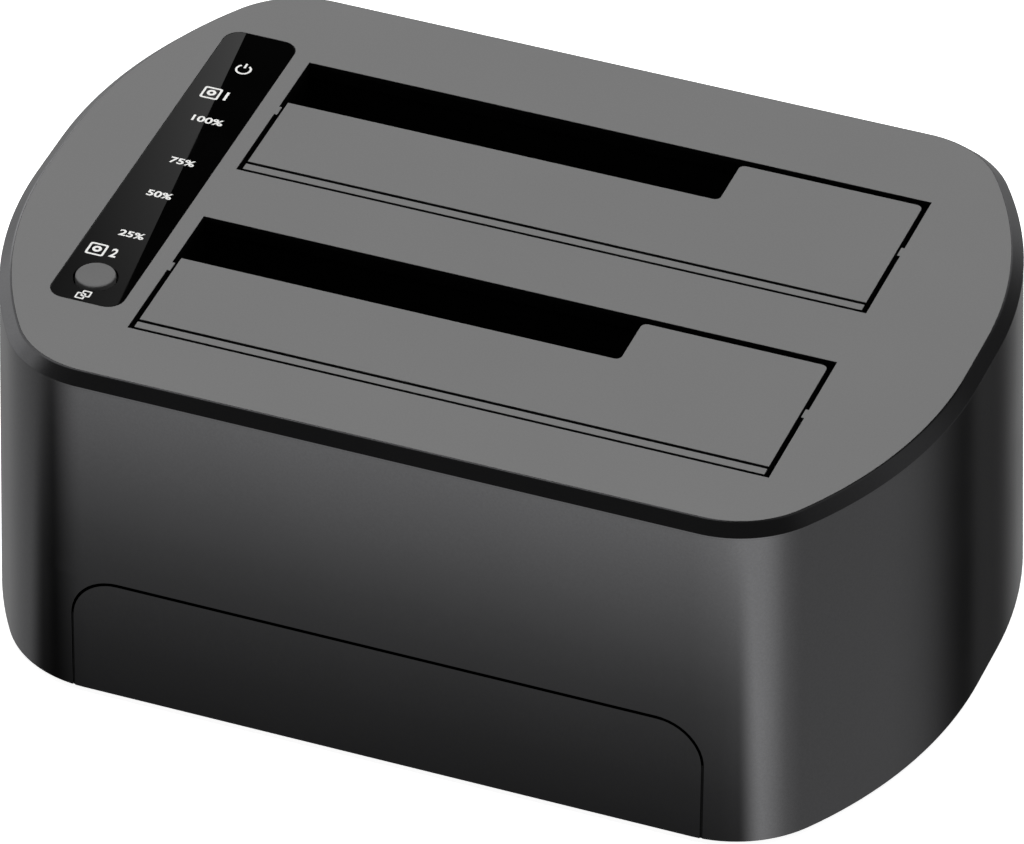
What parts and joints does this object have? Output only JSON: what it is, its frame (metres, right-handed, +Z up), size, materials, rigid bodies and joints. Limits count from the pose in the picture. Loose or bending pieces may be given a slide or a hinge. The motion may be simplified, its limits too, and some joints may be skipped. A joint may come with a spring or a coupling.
{
  "type": "drive duplicator",
  "caption": "Desktop hard-disk duplicator: rounded dark housing, grey top with sprung-flap drive bays, indicator strip, copy button and rear ports.",
  "frame": {"origin": "middle of the footprint on the floor, under the rubber feet", "axes": "+X along the length to the right, +Y to the back, +Z up; the indicator strip is at -X and the arched front panel at -Y"},
  "size_m": [0.1564, 0.109, 0.0606],
  "materials": {
    "graphite_housing": "glossy dark graphite moulded plastic",
    "black_plastic": "matt black moulded plastic",
    "grey_face": "matt mid-grey painted plastic",
    "smoked_window": "glossy black smoked window",
    "clear_guide": "clear moulded light guide",
    "circuit_board": "green solder mask",
    "led": "white-bodied lamp",
    "white_plastic": "off-white nylon",
    "ribbon": "grey flat cable",
    "chip": "black epoxy chip",
    "aluminium_can": "capacitor can",
    "bright_metal": "plated sheet metal",
    "gold_contact": "gold-plated contact",
    "blue_plastic": "blue moulded tongue",
    "steel": "plain steel",
    "black_steel": "black-zinc screws",
    "rubber": "black rubber",
    "grey_button": "matt grey button cap"
  },
  "bodies": {
    "housing": {"body_shell": "graphite_housing", "base_plate": "black_plastic", "front_panel": "graphite_housing", "rear_panel": "graphite_housing", "top_cover": "graphite_housing", "top_inlay": "grey_face", "indicator_window": "smoked_window", "light_guide": "clear_guide", "indicator_board": "circuit_board", "status_leds": "led", "tact_switch": "black_plastic", "board_header_upper": "white_plastic", "board_header_lower": "white_plastic", "ribbon_cable": "ribbon", "main_board": "circuit_board", "bridge_chips": "chip", "small_chips": "chip", "capacitors": "aluminium_can", "crystal": "bright_metal", "sata_sockets": "black_plastic", "sata_contacts": "gold_contact", "usb_port": "bright_metal", "usb_tongue": "blue_plastic", "dc_jack": "black_plastic", "dc_pin": "bright_metal", "power_switch": "black_plastic", "front_bay": "black_plastic", "rear_bay": "black_plastic", "hinge_rails": "grey_face", "hinge_pins": "steel", "front_flap_spring": "steel", "rear_flap_spring": "steel", "case_screws": "black_steel", "board_screws": "steel", "rubber_feet": "rubber"},
    "front_flap_body": {"front_flap": "grey_face"},
    "rear_flap_body": {"rear_flap": "grey_face"},
    "clone_button_body": {"clone_button": "grey_button"},
    "power_rocker_body": {"power_rocker": "black_plastic"}
  },
  "joints": [
    {"name": "front_flap_hinge", "type": "hinge", "parent": "housing", "child": "front_flap_body", "pos_m": [0.0042, -0.03755, 0.0573], "axis": [-1, 0, 0], "range_deg": [0, 88], "stiffness_Nm_per_rad": 0.008, "springref_deg": -45.84, "deforming": ["front_flap_spring"]},
    {"name": "rear_flap_hinge", "type": "hinge", "parent": "housing", "child": "rear_flap_body", "pos_m": [0.0042, 0.00555, 0.0573], "axis": [-1, 0, 0], "range_deg": [0, 88], "stiffness_Nm_per_rad": 0.008, "springref_deg": -45.84, "deforming": ["rear_flap_spring"]},
    {"name": "clone_button_press", "type": "slide", "parent": "housing", "child": "clone_button_body", "axis": [0, 0, -1], "range_m": [0, 0.0005], "stiffness_N_per_m": 400},
    {"name": "power_rocker_pivot", "type": "hinge", "parent": "housing", "child": "power_rocker_body", "pos_m": [0.03, 0.0517, 0.0154], "axis": [0, 0, 1], "range_deg": [0, 14]}
  ]
}
